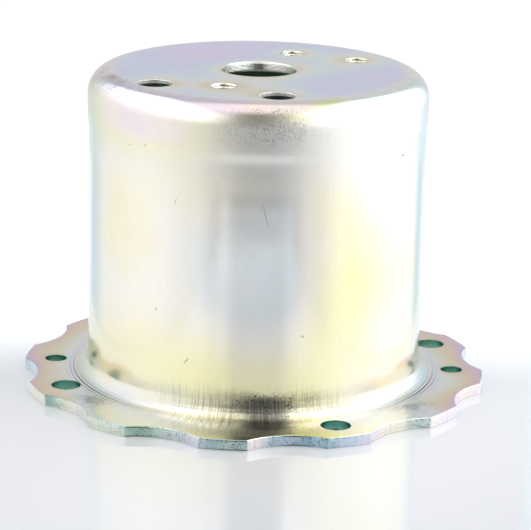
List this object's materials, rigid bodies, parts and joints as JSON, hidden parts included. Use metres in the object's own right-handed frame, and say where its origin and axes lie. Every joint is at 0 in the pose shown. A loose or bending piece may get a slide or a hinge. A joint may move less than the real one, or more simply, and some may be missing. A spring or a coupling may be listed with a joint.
{
  "type": "deep drawn flanged cup",
  "caption": "Drawn sheet-steel cup with a closed, pierced top, a rounded shoulder and a scalloped mounting flange with bolt and pilot holes.",
  "frame": {"origin": "centre of the flange's underside, on the cup's axis", "axes": "+Z along the cup's axis towards the closed top; the four bolt holes of the flange lie on X and Y"},
  "size_m": [0.09, 0.09, 0.061],
  "materials": {
    "plated_sheet": "bright zinc plating with a pale iridescent passivation film, satin gloss"
  },
  "bodies": {
    "root": {"drawn_cup": "plated_sheet"}
  },
  "joints": []
}
